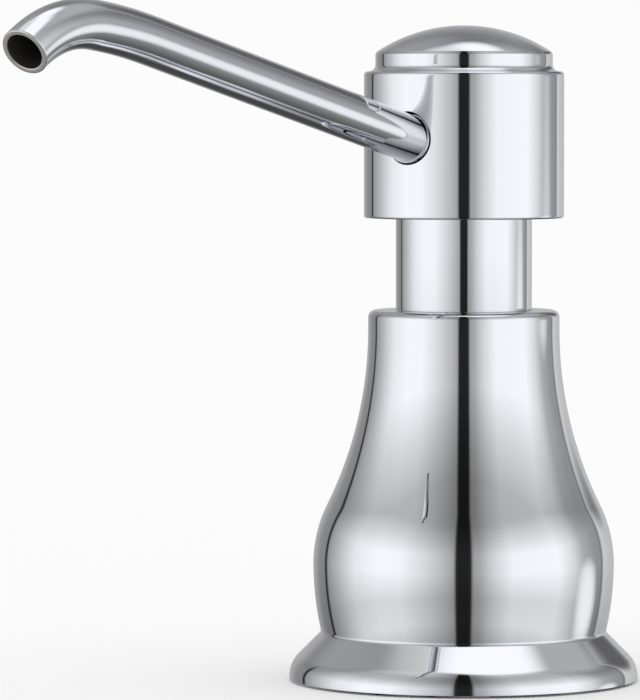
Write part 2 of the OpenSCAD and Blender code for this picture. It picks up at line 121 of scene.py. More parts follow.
def rounded(corners, step=15):
    """A closed outline from (x, z, rounding) corners, each corner turned into a small arc."""
    points = []
    for i, (x, z, radius) in enumerate(corners):
        here = Vector((x, z))
        if not radius:
            points.append((x, z))
            continue
        before = (Vector(corners[i - 1][:2]) - here).normalized()
        after = (Vector(corners[(i + 1) % len(corners)][:2]) - here).normalized()
        half = before.angle(after) / 2
        centre = here + (before + after).normalized() * radius / math.sin(half)
        start = here + before * radius / math.tan(half) - centre
        end = here + after * radius / math.tan(half) - centre
        angle = math.degrees(math.atan2(start.y, start.x))
        sweep = math.degrees(math.atan2(end.y, end.x)) - angle
        sweep -= 360 * round(sweep / 360)
        points += arc(centre.x, centre.y, radius, angle, angle + sweep, step)
    return points


# %% [markdown]
# ## Turning
#
# On a lathe the outline is cut while the work spins. Here the outline is drawn as a chain of edges,
# one point at a time, and Spin carries it round the axis. A plane merged to its centre gives the
# first point. After the spin the seam is welded and the faces are turned outwards. Chrome would show
# a seam or a face that looks the wrong way at once, so every piece ends in the same `close_up`.

# %% Lathe work
AROUND = 256
SMOOTH_BELOW = math.radians(28)


def select_all():
    bpy.ops.mesh.select_all(action="SELECT")


def close_up(piece, name):
    """Welds the seam, faces the surface outwards, and puts the piece's place into its mesh."""
    bpy.ops.object.mode_set(mode="EDIT")
    bpy.ops.mesh.select_mode(type="VERT")
    select_all()
    bpy.ops.mesh.remove_doubles(threshold=WELD)
    bpy.ops.mesh.normals_make_consistent(inside=False)
    bpy.ops.object.mode_set(mode="OBJECT")
    bpy.ops.object.transform_apply(location=True, rotation=True, scale=True)
    bpy.ops.object.shade_smooth_by_angle(angle=SMOOTH_BELOW)
    piece.name = piece.data.name = name
    sizes = [round(v / MM, 1) for v in piece.dimensions]
    print(name, len(piece.data.polygons), "faces, size in mm:", sizes)
    return piece


# %% Draw an outline and turn it
def drawn(outline, closed=True):
    """Draws (radius, height) points in millimetres as a chain of edges, and stays in edit mode."""
    bpy.ops.object.select_all(action="DESELECT")
    first = Vector((outline[0][0], 0, outline[0][1])) * MM
    bpy.ops.mesh.primitive_plane_add(size=MM, location=first)
    bpy.ops.object.mode_set(mode="EDIT")
    select_all()
    bpy.ops.mesh.merge(type="CENTER")
    ends = outline[1:] + outline[:1] if closed else outline[1:]
    for here, there in zip(outline, ends):
        step = Vector((there[0] - here[0], 0, there[1] - here[1])) * MM
        bpy.ops.mesh.extrude_vertices_move(TRANSFORM_OT_translate={"value": step})
    select_all()
    bpy.ops.mesh.remove_doubles(threshold=WELD)
    return bpy.context.object


def turned(name, outline, around=AROUND, closed=True):
    """Sweeps an outline round the upright axis."""
    piece = drawn(outline, closed)
    select_all()
    bpy.ops.mesh.spin(steps=around, angle=math.tau, center=(0, 0, 0), axis=(0, 0, 1))
    return close_up(piece, name)


# %% [markdown]
# ## The bell
#
# The body is a brass turning, plated bright. Its foot slopes up from a round edge to a crease, the
# belly swells over it, and the neck narrows to a lip that the collar slides through. It could be
# pulled out of a cylinder with a Subdivision Surface, but a mirror finish shows the slightest wave
# that this leaves. True arcs that meet without a kink give smooth stripes. The outline runs up the
# outside and back down the inside, and takes in the gasket's groove, the recess for the insert and
# the snap ring's groove, so the underside is finished work too.

# %% Sizes of the bell
FOOT_CREASE = 8.4
FOOT_COVE = 0.8
FOOT_ROUND = 5.0
FOOT_SLOPE = 45
FOOT_CHAMFER = 0.25
BELLY_R = 25.0
BELLY_Z = 19.5
BELLY_CURVE = 22.0
UNDER_CURVE = 50.0
NECK_R = 15.9
NECK_Z = 58.5
LIP_ROUND = 1.2
LIP_TOP = 1.5
LIP_HOLE_R = 11.6
LIP_HOLE_ROUND = 0.35
BELL_WALL = 1.8
CREASE_SOFTNESS = 0.12
print("neck", NECK_R, "belly", BELLY_R, "wall", BELL_WALL)

# %% Sizes of what sits in the bell
GASKET_WIDTH = 2.4
SEAT_Z = 8.0
SEAT_WIDTH = 1.4
SEAT_DEPTH = 1.2
RING_GROOVE_R = 23.05
RECESS_CHAMFER = 0.2
gasket_low, gasket_high = low_high("base_gasket")
insert_low, insert_high = low_high("base_insert")
ring_low, ring_high = low_high("retaining_ring")
bush_foot = low_high("guide_bush")[0].z
insert_r = insert_high.x
print("insert", insert_r, "snap ring", ring_low.z, "to", ring_high.z, "bush from", bush_foot)


# %% The bell's belly and foot
def under_belly(start_z, wall):
    """The belly below its widest place, inset by a wall."""
    radius = UNDER_CURVE - wall
    start = -math.degrees(math.asin((BELLY_Z - start_z) / radius))
    return arc(BELLY_R - UNDER_CURVE, BELLY_Z, radius, start, 0, 0.4)


def foot_side(foot_r, foot_z, crease_r):
    """The foot's round edge, its slope and the cove that ends in the crease."""
    slope_start = foot_r - FOOT_ROUND * (1 - math.cos(math.radians(FOOT_SLOPE)))
    cove_x = crease_r + FOOT_COVE
    cove_end = cove_x - FOOT_COVE * math.cos(math.radians(FOOT_SLOPE))
    cove_z = FOOT_CREASE - FOOT_COVE * math.sin(math.radians(FOOT_SLOPE))
    slope_z = cove_z - (slope_start - cove_end) / math.tan(math.radians(FOOT_SLOPE))
    round_z = slope_z - FOOT_ROUND * math.sin(math.radians(FOOT_SLOPE))
    edge = [(foot_r - FOOT_CHAMFER, foot_z), (foot_r, foot_z + FOOT_CHAMFER)]
    side = arc(foot_r - FOOT_ROUND, max(round_z, foot_z + RUN_END), FOOT_ROUND, 0, FOOT_SLOPE)
    return edge + side + arc(cove_x, FOOT_CREASE, FOOT_COVE, 180 + FOOT_SLOPE, 180, 7.5)


crease_r = under_belly(FOOT_CREASE, 0)[0][0]
print("crease at", round(crease_r, 2))

# %% Turn the bell
neck_bore = NECK_R - BELL_WALL
neck_foot = bush_foot - RUN_END
lip_under = bell_high.z - LIP_TOP
groove_out = gasket_high.x
groove_in = groove_out - GASKET_WIDTH
inside = ogee(BELLY_R - BELL_WALL, BELLY_Z, neck_bore, neck_foot, BELLY_CURVE - BELL_WALL, 2)
under_inside = under_belly(SEAT_Z + SEAT_DEPTH + SEAT_WIDTH, BELL_WALL)
bell_outline = (
    foot_side(bell_high.x, bell_low.z, crease_r)
    + under_belly(FOOT_CREASE + CREASE_SOFTNESS, 0)
    + ogee(BELLY_R, BELLY_Z, NECK_R, NECK_Z, BELLY_CURVE)[1:]
    + [(NECK_R, bell_high.z - LIP_ROUND - RUN_END)]
    + arc(NECK_R - LIP_ROUND, bell_high.z - LIP_ROUND, LIP_ROUND, 0, 90, 7.5)
    + [(NECK_R - LIP_ROUND - RUN_END, bell_high.z)]
    + arc(LIP_HOLE_R + LIP_HOLE_ROUND, bell_high.z - LIP_HOLE_ROUND, LIP_HOLE_ROUND, 90, 180, 15)
    + [(LIP_HOLE_R, lip_under), (neck_bore, lip_under), (neck_bore, neck_foot)]
    + inside[-2::-1]
    + under_inside[-2::-4]
    + [(insert_r - SEAT_WIDTH, SEAT_Z + SEAT_DEPTH), (insert_r - SEAT_WIDTH, SEAT_Z)]
    + [(insert_r, SEAT_Z), (insert_r, ring_high.z), (RING_GROOVE_R, ring_high.z)]
    + [(RING_GROOVE_R, ring_low.z), (insert_r, ring_low.z)]
    + [(insert_r, bell_low.z + RECESS_CHAMFER), (insert_r + RECESS_CHAMFER, bell_low.z)]
    + [(groove_in, bell_low.z), (groove_in, gasket_high.z)]
    + [(groove_out, gasket_high.z), (groove_out, bell_low.z)]
)
bell = turned("bell", bell_outline)

# %% [markdown]
# ## The collar
#
# A thin plated tube goes up and down with the head through the bell's lip, and its flange is held in
# the head. It could be a cylinder primitive with a Bevel, but the flange and the wall come at no cost
# when it is turned as well. Only its edges need rounding: a bright cylinder is all highlights.

# %% Turn the collar
SLEEVE_R = 11.3
SLEEVE_WALL = 0.9
FLANGE_H = 1.2
sleeve = turned("collar", rounded([
    (SLEEVE_R - SLEEVE_WALL, sleeve_low.z, 0.2), (SLEEVE_R, sleeve_low.z, 0.3),
    (SLEEVE_R, sleeve_high.z - FLANGE_H, 0), (sleeve_high.x, sleeve_high.z - FLANGE_H, 0.2),
    (sleeve_high.x, sleeve_high.z, 0.2), (SLEEVE_R - SLEEVE_WALL, sleeve_high.z, 0.2),
]))

# %% [markdown]
# ## The head
#
# The head is a plated cup, turned like the bell, with a shoulder and a small cove up to the button.
# Both roundings are small and true, because the dark line down the front breaks at each of them.

# %% Turn the head
HEAD_WALL = 1.75
HEAD_LID = 1.9
HEAD_ROUND = 0.65
RIM_ROUND = 0.4
RIM_CHAMFER = 0.2
CAP_R = 14.7
CAP_COVE = 1.1
SPIGOT_R = 12.0
SPIGOT_H = 3.6

head_r = head_high.x
head_top = cap_low.z + SPIGOT_H
shoulder = head_top - CAP_COVE
head_bore = head_r - HEAD_WALL
head_outline = (
    [(head_bore, head_low.z + RIM_CHAMFER), (head_bore + RIM_CHAMFER, head_low.z)]
    + [(head_r - RIM_ROUND - RUN_END, head_low.z)]
    + arc(head_r - RIM_ROUND, head_low.z + RIM_ROUND, RIM_ROUND, -90, 0, 10)
    + [(head_r, head_low.z + RIM_ROUND + RUN_END), (head_r, shoulder - HEAD_ROUND - RUN_END)]
    + arc(head_r - HEAD_ROUND, shoulder - HEAD_ROUND, HEAD_ROUND, 0, 90, 7.5)
    + arc(CAP_R + CAP_COVE, head_top, CAP_COVE, -90, -180, 7.5)
    + [(SPIGOT_R, head_top), (SPIGOT_R, shoulder - HEAD_LID)]
    + [(head_bore, shoulder - HEAD_LID)]
)
head = turned("head", head_outline, around=360)

# %% [markdown]
# ## The hole in the head
#
# The spout goes in through the head's side with a hair of room all round. A drill makes that hole in
# one pass, and a Boolean does the same: a straight cutter along the spout's line takes away one wall
# and leaves a clean, oval edge on the round side. The sharp edge is then rounded, as a plated edge
# always is.

# %% The spout's line
TUBE_R = 3.85
SPOUT_GAP = 0.45
SPOUT_RISE = math.radians(12.5)
SPOUT_UP = 9.65
spout_line = Vector((0, -math.cos(SPOUT_RISE), math.sin(SPOUT_RISE)))
spout_start = Vector((0, 0, head_low.z + SPOUT_UP))
spout_tilt = spout_line.to_track_quat("Z", "Y").to_euler()


def along_spout(distance):
    """A point on the spout's straight line, in millimetres from the pump's axis."""
    return spout_start + spout_line * distance


print("spout enters the head at", [round(v, 1) for v in along_spout(head_r)])


# %% Bore the hole
def cut_away(piece, cutter):
    """Takes the cutter's shape out of a piece, and the cutter out of the scene."""
    cut = piece.modifiers.new("cut", "BOOLEAN")
    cut.operation, cut.object, cut.solver = "DIFFERENCE", cutter, "EXACT"
    bpy.context.view_layer.objects.active = piece
    bpy.ops.object.modifier_apply(modifier=cut.name)
    bpy.data.objects.remove(cutter)
    bpy.ops.object.select_all(action="DESELECT")
    piece.select_set(True)
    bpy.ops.object.shade_smooth_by_angle(angle=SMOOTH_BELOW)
    print(piece.name, "after the cut:", len(piece.data.polygons), "faces")


hole_r = TUBE_R + SPOUT_GAP
drill_start, drill_end = head_bore / 2, head_r + 8
drill_place = along_spout((drill_start + drill_end) / 2)
bpy.ops.object.select_all(action="DESELECT")
bpy.ops.mesh.primitive_cylinder_add(
    vertices=128, radius=hole_r * MM, depth=(drill_end - drill_start) * MM,
    location=drill_place * MM, rotation=spout_tilt,
)
cut_away(head, bpy.context.object)


# %% Break the edge of the hole
def on_hole(point):
    """Is a point of the head's outer skin on the hole's edge?"""
    place = point / MM - spout_start
    across = (place - spout_line * place.dot(spout_line)).length
    outside = point.xy.length > (head_r - 0.1) * MM
    return abs(across - hole_r) < NEAR and outside and point.y < 0


def round_edges(piece, wanted, width, segments):
    """Rounds the edges of a finished piece whose two ends pass a test."""
    bpy.context.view_layer.objects.active = piece
    bpy.ops.object.mode_set(mode="EDIT")
    bpy.ops.mesh.select_mode(type="EDGE")
    bpy.ops.mesh.select_all(action="DESELECT")
    bpy.ops.object.mode_set(mode="OBJECT")
    points = piece.data.vertices
    chosen = [e for e in piece.data.edges if wanted(*(points[v].co for v in e.vertices))]
    for edge in chosen:
        edge.select = True
    bpy.ops.object.mode_set(mode="EDIT")
    bpy.ops.mesh.bevel(offset=width * MM, segments=segments, profile=0.5, clamp_overlap=True)
    bpy.ops.mesh.select_mode(type="VERT")
    bpy.ops.object.mode_set(mode="OBJECT")
    bpy.ops.object.shade_smooth_by_angle(angle=SMOOTH_BELOW)
    print(piece.name, "edges rounded:", len(chosen))


round_edges(head, lambda start, end: on_hole(start) and on_hole(end), 0.2, 3)

# %% [markdown]
# ## The button
#
# The button is a band with a low dome on it, and a spigot underneath that is pressed into the head.
# A squashed sphere would look like the dome at first, but its curve is too flat on top and too steep
# at the edge. An arc whose radius follows from the dome's width and rise is the real shape. The dome
# meets the band in a crisp but not sharp edge, which catches a thin line of light.

# %% Sizes of the button
CAP_BAND = 2.0
CAP_WALL = 1.6
BAND_ROUND = 0.3
DOME_EDGE = 0.22
EDGE_DROP = 0.05
SPIGOT_CHAMFER = 0.3
band_top = head_top + CAP_BAND
dome_rise = cap_high.z - band_top
dome_r = (CAP_R**2 + dome_rise**2) / (2 * dome_rise)
dome_z = cap_high.z - dome_r
print("dome rises", round(dome_rise, 2), "on a radius of", round(dome_r, 2))

# %% Turn the button
edge_angle = math.degrees(math.acos((CAP_R - DOME_EDGE) / dome_r))
inner_angle = math.degrees(math.acos((SPIGOT_R - CAP_WALL) / (dome_r - CAP_WALL)))
cap_outline = (
    arc(0, dome_z, dome_r, 90, edge_angle, 1)
    + arc(CAP_R - BAND_ROUND, band_top - BAND_ROUND - EDGE_DROP, BAND_ROUND, 40, 0, 10)
    + [(CAP_R, band_top - BAND_ROUND - RUN_END), (CAP_R, head_top + RUN_END), (CAP_R, head_top)]
    + [(SPIGOT_R, head_top), (SPIGOT_R, cap_low.z + SPIGOT_CHAMFER)]
    + [(SPIGOT_R - SPIGOT_CHAMFER, cap_low.z), (SPIGOT_R - CAP_WALL, cap_low.z)]
    + arc(0, dome_z, dome_r - CAP_WALL, inner_angle, 90, 4)
)
button = turned("button", cap_outline, closed=False)

# %% [markdown]
# ## The spout
#
# A real spout is drawn tube, cut to length and bent round a former. A curve with a round bevel would
# be the quick way, but the mesh can be made as the tube is: a ring is extruded along the straight
# run, Spin carries it round the two bends at their true radii, and a last extrude makes the tip.
# The tube's middle is noted on the way, because it tells the inside from the outside later.

# %% Sizes of the spout
TUBE_WALL = 0.9
SPOUT_ROOT = 6.5
SPOUT_LENGTH = 88.7
BENDS = [(117.0, 6.8), (24.7, 39.2)]
BEND_STEP = 1.25
TIP = 0.5
RING = 128
MIDDLE_STEP = 0.5
straight_run = SPOUT_LENGTH - SPOUT_ROOT
print("straight run of", round(straight_run, 1), "then bends of", BENDS)


# %% Bend the spout
def bent_tube():
    """The spout's outer skin, from its root in the head to its mouth."""
    bpy.ops.object.select_all(action="DESELECT")
    bpy.ops.mesh.primitive_circle_add(
        vertices=RING, radius=TUBE_R * MM, location=along_spout(SPOUT_ROOT) * MM, rotation=spout_tilt
    )
    piece = bpy.context.object
    bpy.ops.object.mode_set(mode="EDIT")
    select_all()
    run = spout_line * straight_run * MM
    bpy.ops.mesh.extrude_edges_move(TRANSFORM_OT_translate={"value": run})
    place, heading = along_spout(SPOUT_LENGTH), spout_line.copy()
    count = round(straight_run / MIDDLE_STEP)
    middles = [along_spout(SPOUT_ROOT + MIDDLE_STEP * i) for i in range(count)]
    for radius, degrees in BENDS:
        down = Vector((0, heading.z, -heading.y)) * -1
        centre = place + down * radius
        steps = math.ceil(degrees / BEND_STEP)
        bpy.ops.mesh.spin(
            steps=steps, angle=math.radians(degrees), center=centre * MM, axis=(-1, 0, 0),
            use_auto_merge=False,
        )
        start = place
        for step in range(1, steps + 1):
            turn = Matrix.Rotation(math.radians(degrees) * step / steps, 3, "X")
            place = centre + turn @ (start - centre)
            middles.append(place)
        heading = turn @ heading
    bpy.ops.mesh.extrude_edges_move(TRANSFORM_OT_translate={"value": heading * TIP * MM})
    bpy.ops.object.mode_set(mode="OBJECT")
    middles.append(place + heading * TIP)
    print("mouth at", [round(v, 1) for v in middles[-1]], "heading", [round(v, 2) for v in heading])
    return piece, middles, heading


spout, centre_line, mouth_heading = bent_tube()
mouth = centre_line[-1]

# %% [markdown]
# Solidify gives the tube its wall, inwards, so that the outer surface keeps its size. The saw leaves
# two sharp rings at the mouth, and a file takes them off.


# %% Give the tube its wall and round its mouth
def at_mouth(start, end):
    """Is an edge part of the inner or outer ring of the tube's cut end?"""
    places = [point / MM - mouth for point in (start, end)]
    flat = all(abs(place.dot(mouth_heading)) < NEAR for place in places)
    return flat and abs(places[0].length - places[1].length) < NEAR


wall = spout.modifiers.new("wall", "SOLIDIFY")
wall.thickness, wall.offset = TUBE_WALL * MM, -1
bpy.ops.object.modifier_apply(modifier=wall.name)
close_up(spout, "spout")
round_edges(spout, at_mouth, 0.22, 4)

# %% [markdown]
# ## Under the foot
#
# The foot stands on a rubber ring, and a brass insert sits in the recess inside it. The insert takes
# the threaded shank that comes up through the deck. Both are turned, from outlines that are written
# as corners with a rounding each.

# %% Turn the ring
gasket = turned("foot_ring", rounded([
    (groove_in, gasket_low.z, 0.35), (groove_out, gasket_low.z, 0.35),
    (groove_out, gasket_high.z, 0.15), (groove_in, gasket_high.z, 0.15),
]))

# %% Turn the insert
SHANK_R = 12.0
BOSS_R = 14.5
SOCKET_TOP = 10.0
WEB = 2.4
RIM = 4.0
CARRIER_R = 10.4
CARRIER_BORE = 8.1
insert = turned("insert", rounded([
    (BOSS_R, insert_low.z, 0.3), (BOSS_R, SEAT_Z - WEB, 0.6), (insert_r - RIM, SEAT_Z - WEB, 0.4),
    (insert_r - RIM, ring_high.z, 0.2), (insert_r, ring_high.z, 0.2), (insert_r, SEAT_Z, 0.2),
    (BOSS_R, SEAT_Z, 0.3), (BOSS_R, SOCKET_TOP + WEB, 0.4), (CARRIER_R, SOCKET_TOP + WEB, 0.3),
    (CARRIER_R, insert_high.z, 0.25), (CARRIER_BORE, insert_high.z, 0.25),
    (CARRIER_BORE, SOCKET_TOP, 0.2), (SHANK_R, SOCKET_TOP, 0.3), (SHANK_R, insert_low.z, 0.5),
]), around=192)

# %% [markdown]
# ## The thread
#
# The insert's thread is a real spiral. A bump pattern would do from far off, but the socket is open
# to view from below, and its rings of light would give that away. A flat-topped ridge is carried
# round and up by a Screw modifier, and a Boolean cuts its shape into the socket's wall.


# %% Wind a spiral
def wound(name, section, turns, rise, steps):
    """Carries a closed (radius, height) section in millimetres round the axis as it rises."""
    piece = drawn(section)
    bpy.ops.object.mode_set(mode="OBJECT")
    bpy.ops.object.transform_apply(location=True, rotation=True, scale=True)
    winding = piece.modifiers.new("winding", "SCREW")
    winding.angle, winding.screw_offset = math.tau * turns, rise * MM
    winding.steps = winding.render_steps = round(steps * turns)
    winding.use_merge_vertices = False
    bpy.ops.object.modifier_apply(modifier=winding.name)
    piece.name = name
    print(name, "of", turns, "turns rises", round(rise, 2))
    return piece


def closed_ends(piece, name):
    """Fills the two open ends of a wound piece, and finishes it."""
    bpy.ops.object.mode_set(mode="EDIT")
    select_all()
    bpy.ops.mesh.remove_doubles(threshold=WELD)
    select_all()
    bpy.ops.mesh.fill_holes(sides=0)
    bpy.ops.object.mode_set(mode="OBJECT")
    return close_up(piece, name)


# %% Cut the thread
THREAD_PITCH = 1.5
THREAD_DEPTH = 0.8
THREAD_TURNS = 5
THREAD_START = 1.0
RIDGE_ROOT = 0.62
RIDGE_TOP = 0.12
ridge_in, ridge_out = SHANK_R - 0.3, SHANK_R + THREAD_DEPTH
ridge = [
    (ridge_in, THREAD_START - RIDGE_ROOT), (ridge_out, THREAD_START - RIDGE_TOP),
    (ridge_out, THREAD_START + RIDGE_TOP), (ridge_in, THREAD_START + RIDGE_ROOT),
]
thread = wound("thread", ridge, THREAD_TURNS, THREAD_PITCH * THREAD_TURNS, 64)
cut_away(insert, closed_ends(thread, "thread"))

# %% [markdown]
# ## The return spring
#
# A compression spring is wound from bright steel wire. Its last turn at each end lies flat against
# the next, so that it stands straight. One Screw modifier has one pitch, so three windings of the
# same round section, end on end, give the two closed turns and the open ones between them.

# %% Wind the spring
WIRE_R = 0.45
WIRE_STEP = 22.5
SPRING_R = 4.9
OPEN_TURNS = 7
COIL_GAP = 0.04
spring_low, spring_high = low_high("return_spring")
closed_rise = 2 * WIRE_R + COIL_GAP
open_rise = spring_high.z - spring_low.z - 2 * WIRE_R - 2 * closed_rise
stretches = []
start_z = spring_low.z + WIRE_R
for turns, rise in ((1, closed_rise), (OPEN_TURNS, open_rise), (1, closed_rise)):
    wire = [(SPRING_R + x, start_z + z) for x, z in arc(0, 0, WIRE_R, 0, 360 - WIRE_STEP, WIRE_STEP)]
    stretches.append(wound("winding", wire, turns, rise, 40))
    start_z += rise
bpy.ops.object.select_all(action="DESELECT")
for stretch in stretches:
    stretch.select_set(True)
bpy.context.view_layer.objects.active = stretches[0]
bpy.ops.object.join()
spring = closed_ends(bpy.context.object, "spring")

# %% [markdown]
# ## The other inner pieces
#
# The rest of the pump is moulded and pressed work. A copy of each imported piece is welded, its flat
# faces are cleaned, and its edges are rounded a little with a Bevel: a mould never leaves a sharp
# edge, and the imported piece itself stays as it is.

# %% Soften the edges of copies
SHARP_ABOVE = math.radians(35)
FLAT_BELOW = math.radians(0.5)


def softened(node, name, width):
    """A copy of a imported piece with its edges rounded."""
    bpy.ops.object.select_all(action="DESELECT")
    packed = frame["nodes"][node]
    piece = bpy.data.objects.new(name, packed.data.copy())
    bpy.context.scene.collection.objects.link(piece)
    piece.matrix_world = packed.matrix_world.copy()
    piece.select_set(True)
    bpy.context.view_layer.objects.active = piece
    bpy.ops.object.transform_apply(location=True, rotation=True, scale=True)
    bpy.ops.object.mode_set(mode="EDIT")
    select_all()
    bpy.ops.mesh.remove_doubles(threshold=WELD)
    select_all()
    bpy.ops.mesh.dissolve_limited(angle_limit=FLAT_BELOW)
    bpy.ops.object.mode_set(mode="OBJECT")
    if width:
        edge = piece.modifiers.new("edge", "BEVEL")
        edge.width, edge.segments, edge.limit_method = width * MM, 2, "ANGLE"
        edge.angle_limit, edge.use_clamp_overlap = SHARP_ABOVE, True
        bpy.ops.object.modifier_apply(modifier=edge.name)
    return close_up(piece, name)


# %% The inner pieces
INNER = [
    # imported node, name, edge rounding, body
    ("retaining_ring", "snap_ring", 0.12, "base"),
    ("guide_bush", "neck_bush", 0.2, "base"),
    ("wiper_seal", "wiper", 0.08, "base"),
    ("pump_housing", "cylinder", 0.12, "base"),
    ("housing_gasket", "cylinder_seal", 0.2, "base"),
    ("clamp_nut", "nut", 0.4, "base"),
    ("stem_guide", "cylinder_cap", 0.12, "base"),
    ("ball_cage", "cage", 0.08, "base"),
    ("inlet_ball", "lower_ball", 0, "inlet_valve"),
    ("spring_cup", "cup", 0.06, "plunger"),
    ("piston_seal", "piston", 0.08, "plunger"),
    ("pump_stem", "stem", 0.12, "head"),
    ("outlet_ball", "upper_ball", 0, "outlet_valve"),
    ("delivery_core", "core", 0.15, "head"),
    ("head_base_ring", "base_ring", 0.12, "head"),
    ("spout_ferrule", "ferrule", 0.08, "head"),
    ("spout_o_ring", "o_ring", 0, "head"),
]
inner = {node: softened(node, name, width) for node, name, width, body in INNER}

# %% [markdown]
# ## Finishes as expressions
#
# A finish is a small network of nodes. Written out link by link it hides what it computes, so a
# socket is wrapped in a class that overloads arithmetic: `0.03 + 0.05 * smudge` then adds the Math
# nodes by itself. One method adds any other node.

# %% A socket that does arithmetic
class Signal:
    """An output socket that adds Math nodes when it is used in an expression."""

    def __init__(self, finish, socket):
        self.finish, self.socket = finish, socket

    def _math(self, operation, *values):
        return self.finish.node("ShaderNodeMath", {"operation": operation}, dict(enumerate(values)))

    def __add__(self, other):
        return self._math("ADD", self, other)

    def __mul__(self, other):
        return self._math("MULTIPLY", self, other)

    def __sub__(self, other):
        return self._math("SUBTRACT", self, other)

    def __rsub__(self, other):
        return self._math("SUBTRACT", other, self)

    def __truediv__(self, other):
        return self._math("DIVIDE", self, other)

    __radd__, __rmul__ = __add__, __mul__

    def between(self, low, high):
        """0 below low, 1 above high, and a soft step from one to the other."""
        settings = {"interpolation_type": "SMOOTHSTEP"}
        inputs = {"Value": self, "From Min": low, "From Max": high}
        return self.finish.node("ShaderNodeMapRange", settings, inputs)


# %% A tree that nodes are added to
class Finish:
    """A node tree under construction."""

    def __init__(self, tree):
        self.tree = tree
        tree.nodes.clear()

    def node(self, kind, settings=None, inputs=None, out=0):
        """Adds a node: its settings first, then what its sockets get. Returns one output."""
        made = self.tree.nodes.new(kind)
        for key, value in (settings or {}).items():
            if key == "stops":
                self._set_stops(made.color_ramp, value)
            else:
                setattr(made, key, value)
        for key, value in (inputs or {}).items():
            if isinstance(value, Signal):
                self.tree.links.new(value.socket, made.inputs[key])
            else:
                made.inputs[key].default_value = value
        return Signal(self, made.outputs[out]) if len(made.outputs) else None

    @staticmethod
    def _set_stops(ramp, stops):
        """Stops are (place, grey) or (place, (r, g, b))."""
        while len(ramp.elements) > 1:
            ramp.elements.remove(ramp.elements[-1])
        for i, (place, value) in enumerate(stops):
            stop = ramp.elements[0] if i == 0 else ramp.elements.new(place)
            stop.position = place
            stop.color = (*value, 1) if isinstance(value, tuple) else (value, value, value, 1)


# %% [markdown]
# ## Chrome
#
# Bright chrome is a thin, hard mirror over polished brass. It isn't quite even: the polishing
# leaves hair-fine lines, and hands and water leave a faint haze. Both could be painted as maps, but
# noise on the piece's own coordinates needs no unwrapping and has no seam. They are in the roughness,
# and are kept so slight that they only soften the reflections here and there.


# %% The start and the end of a finish
def new_finish(name):
    material = bpy.data.materials.new(name)
    material.use_nodes = True
    print("finish:", name)
    return material, Finish(material.node_tree)


def surface(finish, inputs):
    """Ends a finish in a Principled shader."""
    shader = finish.node("ShaderNodeBsdfPrincipled", {}, inputs)
    finish.node("ShaderNodeOutputMaterial", {}, {"Surface": shader})


def place_on_piece(finish, stretch=(1, 1, 1)):
    """Object coordinates, in metres, stretched along the axes."""
    here = finish.node("ShaderNodeTexCoord", out="Object")
    return finish.node("ShaderNodeMapping", {}, {"Vector": here, "Scale": stretch})


def noise(finish, where, scale, detail=3.0, roughness=0.5):
    inputs = {"Vector": where, "Scale": scale, "Detail": detail, "Roughness": roughness}
    return finish.node("ShaderNodeTexNoise", {}, inputs)


# %% Chrome
def make_chrome():
    """A mirror with a faint haze in patches and hair-fine lines round the piece."""
    material, finish = new_finish("bright_chrome")
    haze = noise(finish, place_on_piece(finish), 70, 4.0).between(0.45, 0.8)
    polish = noise(finish, place_on_piece(finish, (1, 1, 12)), 500, 2.0).between(0.3, 0.7)
    roughness = 0.018 + 0.02 * haze + 0.006 * polish
    surface(finish, {"Base Color": (0.785, 0.79, 0.83, 1), "Metallic": 1.0, "Roughness": roughness})
    return material


chrome = make_chrome()

# %% [markdown]
# ## Brass, steel, plastic and rubber
#
# The hidden pieces have plainer finishes. Turned brass keeps the lathe's fine rings, moulded
# plastic has a soft grain and lets a little light in, and rubber is matt with a mould's texture.
# Two small helpers say the rest: one colour that fades into another, and a pattern felt as bumps.

# %% Two-colour patterns and bumps
COLOUR_A, COLOUR_B, COLOUR_OUT = 6, 7, 2


def blended(finish, first, second, factor):
    """One colour that fades into another."""
    inputs = {"Factor": factor, COLOUR_A: (*first, 1), COLOUR_B: (*second, 1)}
    return finish.node("ShaderNodeMix", {"data_type": "RGBA"}, inputs, out=COLOUR_OUT)


def bumps(finish, height, strength, depth):
    """A pattern turned into bumps of a depth in millimetres."""
    inputs = {"Height": height, "Strength": strength, "Distance": depth * MM}
    return finish.node("ShaderNodeBump", {}, inputs)


# %% Brass and steel
def make_brass():
    """Fine rings round the axis, and brown stains."""
    material, finish = new_finish("turned_brass")
    rings = noise(finish, place_on_piece(finish, (0.05, 0.05, 1)), 9000, 1.0)
    stain = noise(finish, place_on_piece(finish), 160, 4.0)
    colour = blended(finish, (0.72, 0.53, 0.25), (0.55, 0.37, 0.17), stain.between(0.35, 0.75))
    surface(finish, {
        "Base Color": colour, "Metallic": 1.0, "Roughness": 0.24 + 0.18 * stain,
        "Normal": bumps(finish, rings, 0.15, 0.02),
    })
    return material


def make_steel():
    """Bright wire and balls, with fine marks."""
    material, finish = new_finish("drawn_steel")
    lines = noise(finish, place_on_piece(finish), 2500, 3.0)
    roughness = 0.14 + 0.14 * lines
    surface(finish, {"Base Color": (0.62, 0.63, 0.65, 1), "Metallic": 1.0, "Roughness": roughness})
    return material


# %% Plastic and rubber
def make_plastic(name, light, dark, roughness, milky):
    """Moulded plastic: faintly uneven in tone, with a soft grain."""
    material, finish = new_finish(name)
    where = place_on_piece(finish)
    shade = noise(finish, where, 120, 3.0)
    grain = noise(finish, where, 4000, 2.0)
    surface(finish, {
        "Base Color": blended(finish, light, dark, shade.between(0.3, 0.7)),
        "Roughness": roughness + 0.1 * shade, "Normal": bumps(finish, grain, 0.12, 0.03),
        "Subsurface Weight": milky, "Subsurface Scale": 2 * MM,
    })
    return material


